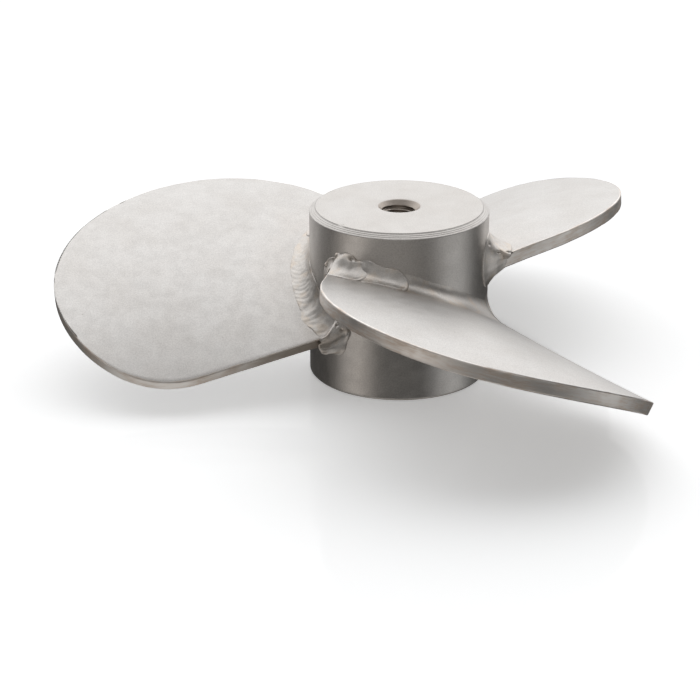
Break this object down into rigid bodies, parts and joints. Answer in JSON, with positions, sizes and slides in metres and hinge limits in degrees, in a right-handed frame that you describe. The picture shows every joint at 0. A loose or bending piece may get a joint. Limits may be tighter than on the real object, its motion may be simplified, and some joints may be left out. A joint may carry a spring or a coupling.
{
  "type": "boat propeller",
  "caption": "Welded left-hand propeller: broad round-ended plate blades set at a pitch on a short cylindrical hub with a tapped, countersunk centre bore.",
  "frame": {"origin": "centre of the hub's lower face, the one away from the countersunk thread that is shown", "axes": "+Z along the shaft axis, from the hub's lower face to its chamfered top face; X and Y square to it, with the blades set round Z"},
  "size_m": [0.1951, 0.2145, 0.058],
  "materials": {
    "hub_steel": "turned, then bead blasted",
    "plate_steel": "bead blasted matt",
    "weld_steel": "as welded, bead blasted"
  },
  "bodies": {
    "root": {"hub": "hub_steel", "blade_1": "plate_steel", "weld_1_top_first": "weld_steel", "weld_1_top_second": "weld_steel", "weld_1_top_long": "weld_steel", "weld_1_under_high": "weld_steel", "weld_1_under_low": "weld_steel", "weld_1_high_corner": "weld_steel", "weld_1_low_corner": "weld_steel", "blade_2": "plate_steel", "weld_2_top_first": "weld_steel", "weld_2_top_second": "weld_steel", "weld_2_top_long": "weld_steel", "weld_2_under_high": "weld_steel", "weld_2_under_low": "weld_steel", "weld_2_high_corner": "weld_steel", "weld_2_low_corner": "weld_steel", "blade_3": "plate_steel", "weld_3_top_first": "weld_steel", "weld_3_top_second": "weld_steel", "weld_3_top_long": "weld_steel", "weld_3_under_high": "weld_steel", "weld_3_under_low": "weld_steel", "weld_3_high_corner": "weld_steel", "weld_3_low_corner": "weld_steel"}
  },
  "joints": []
}
